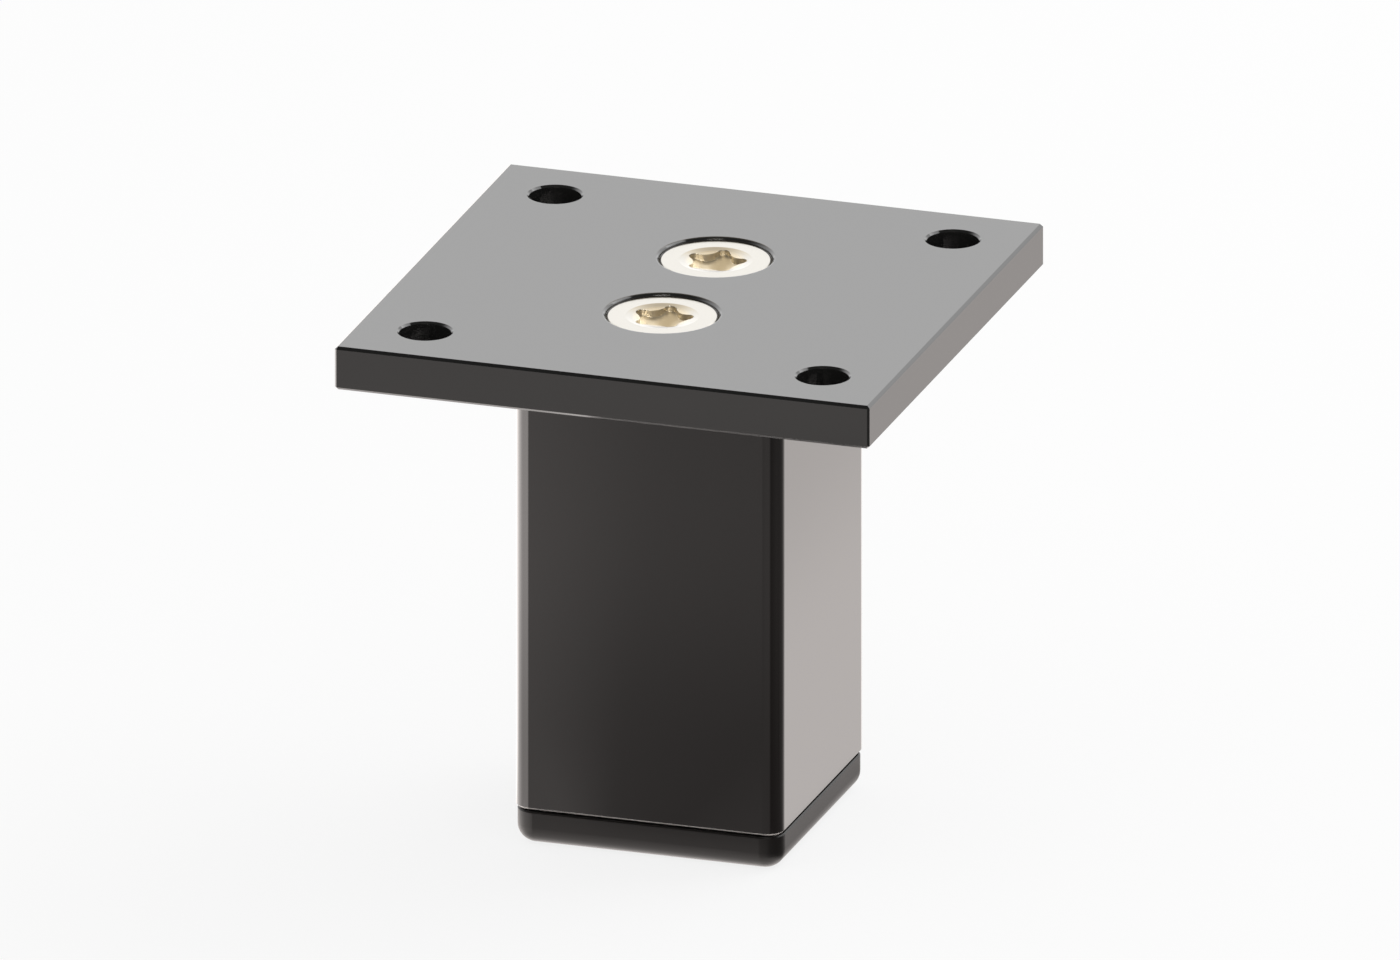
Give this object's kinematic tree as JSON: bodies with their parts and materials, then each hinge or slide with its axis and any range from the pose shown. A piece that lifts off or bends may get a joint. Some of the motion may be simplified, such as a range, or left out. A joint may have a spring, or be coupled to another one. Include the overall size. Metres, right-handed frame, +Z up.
{
  "type": "square furniture leg",
  "caption": "Short square furniture leg: square mounting plate with corner holes, screwed down onto a square tube that stands on a moulded end cap.",
  "frame": {"origin": "centre of the end cap's base, on the floor the leg stands on", "axes": "+Z up through the tube to the mounting plate; -Y is the plate's front edge, and the two screws stand in line along Y"},
  "size_m": [0.08, 0.08, 0.08],
  "materials": {
    "plate_coat": "satin black coat on flat steel",
    "tube_coat": "gloss black coat on extruded aluminium",
    "screw_metal": "bright nickel plate on steel",
    "cap_plastic": "fine matt moulded black plastic"
  },
  "bodies": {
    "root": {"top_plate": "plate_coat", "leg_tube": "tube_coat", "front_screw": "screw_metal", "rear_screw": "screw_metal", "foot_cap": "cap_plastic"}
  },
  "joints": []
}
